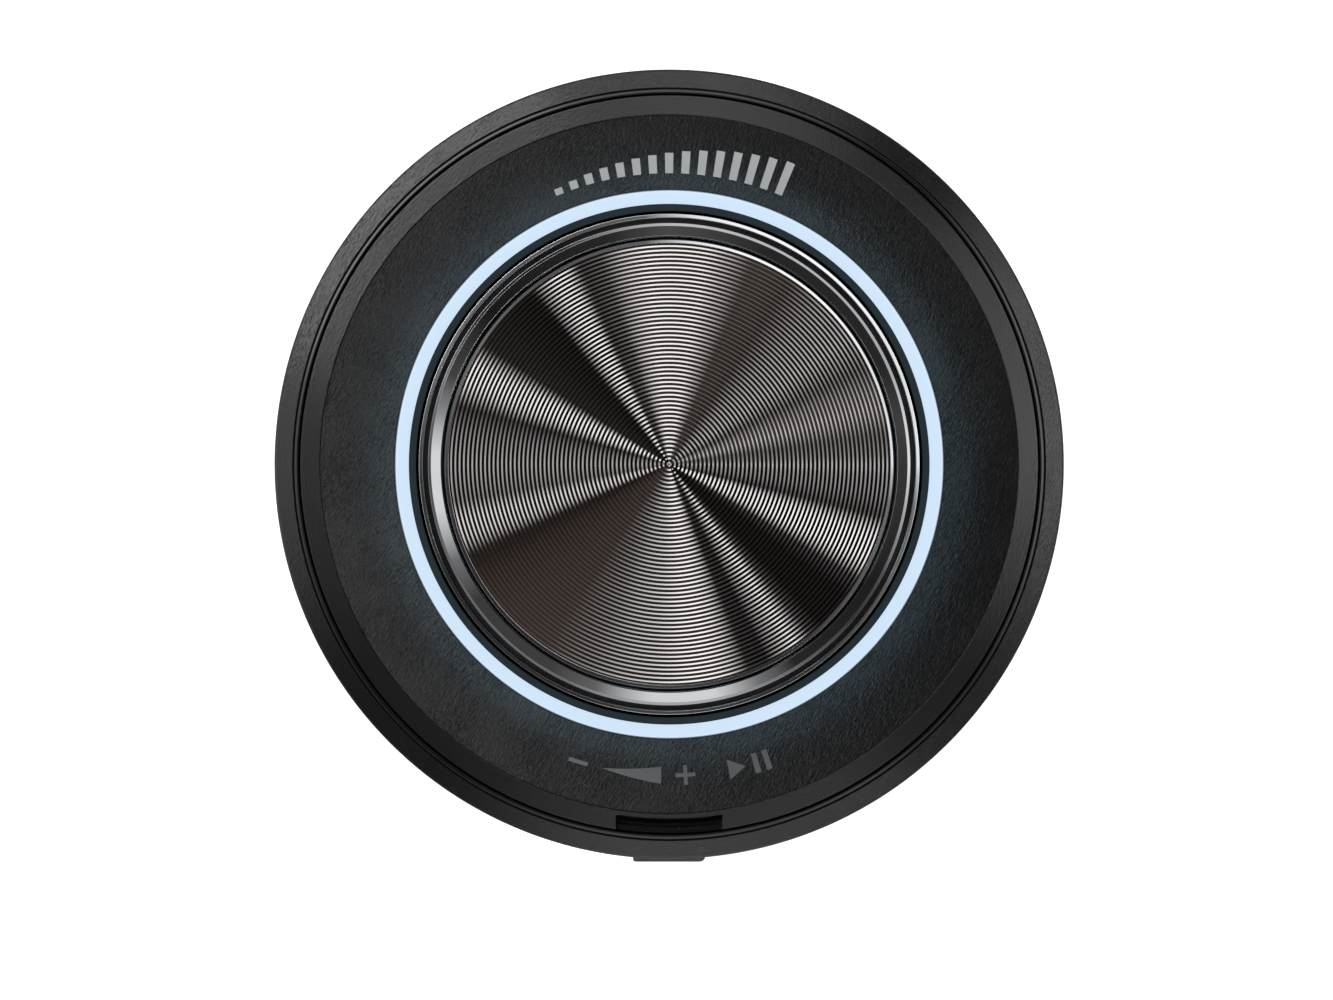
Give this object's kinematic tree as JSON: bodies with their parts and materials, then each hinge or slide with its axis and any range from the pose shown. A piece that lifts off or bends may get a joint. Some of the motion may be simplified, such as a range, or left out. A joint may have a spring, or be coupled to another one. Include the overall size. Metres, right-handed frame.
{
  "type": "panel volume control",
  "caption": "Round panel volume control: a turned-metal knob that spins and presses, inside a lit ring and a dark face cover, on a barrel housing with a cable gland.",
  "frame": {"origin": "centre of the panel cut-out, on the panel's front face, which the gasket's back lies on", "axes": "+Z along the knob's axis towards the user, +Y up as mounted, with the lever slot at -Y, +X to the user's right"},
  "size_m": [0.06, 0.0603, 0.0531],
  "materials": {
    "housing_abs": "moulded dark grey ABS, finely grained",
    "gasket_rubber": "closed-cell rubber, matt black",
    "cover_abs": "moulded black ABS, grained face and a smooth bevel",
    "ring_diffuser": "frosted polycarbonate light guide, lit pale blue",
    "shroud_white": "white reflector plastic",
    "board_laminate": "glass-fibre board under green solder mask",
    "lamp_white": "small white-bodied lamp with a yellow window",
    "chip_resin": "moulded black resin",
    "contact_gold": "gold-plated brass",
    "can_aluminium": "plain drawn aluminium can",
    "crystal_steel": "nickel-plated drawn can",
    "header_nylon": "natural nylon",
    "sheet_steel": "bright zinc-plated steel",
    "turned_zinc": "nickel-plated turned metal",
    "case_resin": "dark blue-grey glass-filled nylon",
    "acetal": "natural acetal",
    "spring_bronze": "phosphor bronze strip",
    "spring_steel": "drawn spring wire",
    "cap_aluminium": "dark anodised aluminium with diamond-cut, polished edges",
    "inlay_aluminium": "spin-finished gunmetal aluminium with a bright cut edge",
    "adhesive_film": "adhesive film",
    "hub_abs": "moulded black ABS",
    "rear_abs": "moulded dark grey ABS, eroded texture",
    "gland_nylon": "black nylon"
  },
  "bodies": {
    "housing": {"base_housing": "housing_abs", "panel_gasket": "gasket_rubber", "light_ring": "ring_diffuser", "light_shroud": "shroud_white", "lamp_board": "board_laminate", "ring_lamps": "lamp_white", "main_board": "board_laminate", "board_link": "chip_resin", "board_link_pins": "contact_gold", "control_chip": "chip_resin", "voltage_regulator": "chip_resin", "capacitors": "can_aluminium", "crystal": "crystal_steel", "wire_header": "header_nylon", "wire_header_pins": "contact_gold", "encoder_frame": "sheet_steel", "encoder_bushing": "turned_zinc", "encoder_washer": "sheet_steel", "encoder_nut": "turned_zinc", "encoder_case": "case_resin", "click_spring": "spring_bronze", "return_spring": "spring_steel", "contact_fingers": "contact_gold", "encoder_terminals": "sheet_steel", "switch_dome": "spring_bronze", "shaft_seal": "gasket_rubber", "rear_cover": "rear_abs", "rear_seal": "gasket_rubber", "case_screws": "sheet_steel", "gland_body": "gland_nylon", "gland_washer": "gasket_rubber", "gland_locknut": "gland_nylon", "gland_sleeve": "gasket_rubber", "gland_nut": "gland_nylon"},
    "cover": {"face_cover": "cover_abs"},
    "plunger": {"switch_plunger": "acetal"},
    "knob": {"encoder_shaft": "turned_zinc", "knob_cap": "cap_aluminium", "knob_inlay": "inlay_aluminium", "inlay_film": "adhesive_film", "knob_hub": "hub_abs", "hub_clip": "sheet_steel"},
    "rotor": {"encoder_rotor": "acetal"}
  },
  "joints": [
    {"name": "knob_press", "type": "slide", "parent": "housing", "child": "plunger", "axis": [0, 0, -1], "range_m": [0, 0.0015], "stiffness_N_per_m": 2000, "springref_m": -0.001, "deforming": ["return_spring"]},
    {"name": "knob_turn", "type": "hinge", "parent": "plunger", "child": "knob", "pos_m": [0, 0, 0], "axis": [0, 0, 1], "continuous": true},
    {"name": "rotor_turn", "type": "hinge", "parent": "housing", "child": "rotor", "pos_m": [0, 0, 0], "axis": [0, 0, 1], "continuous": true},
    {"name": "cover_lift", "type": "slide", "parent": "housing", "child": "cover", "axis": [0, 0, 1], "range_m": [0, 0.016]}
  ],
  "couplings": [
    {"joint": "rotor_turn", "follows": "knob_turn", "ratio": 1}
  ]
}
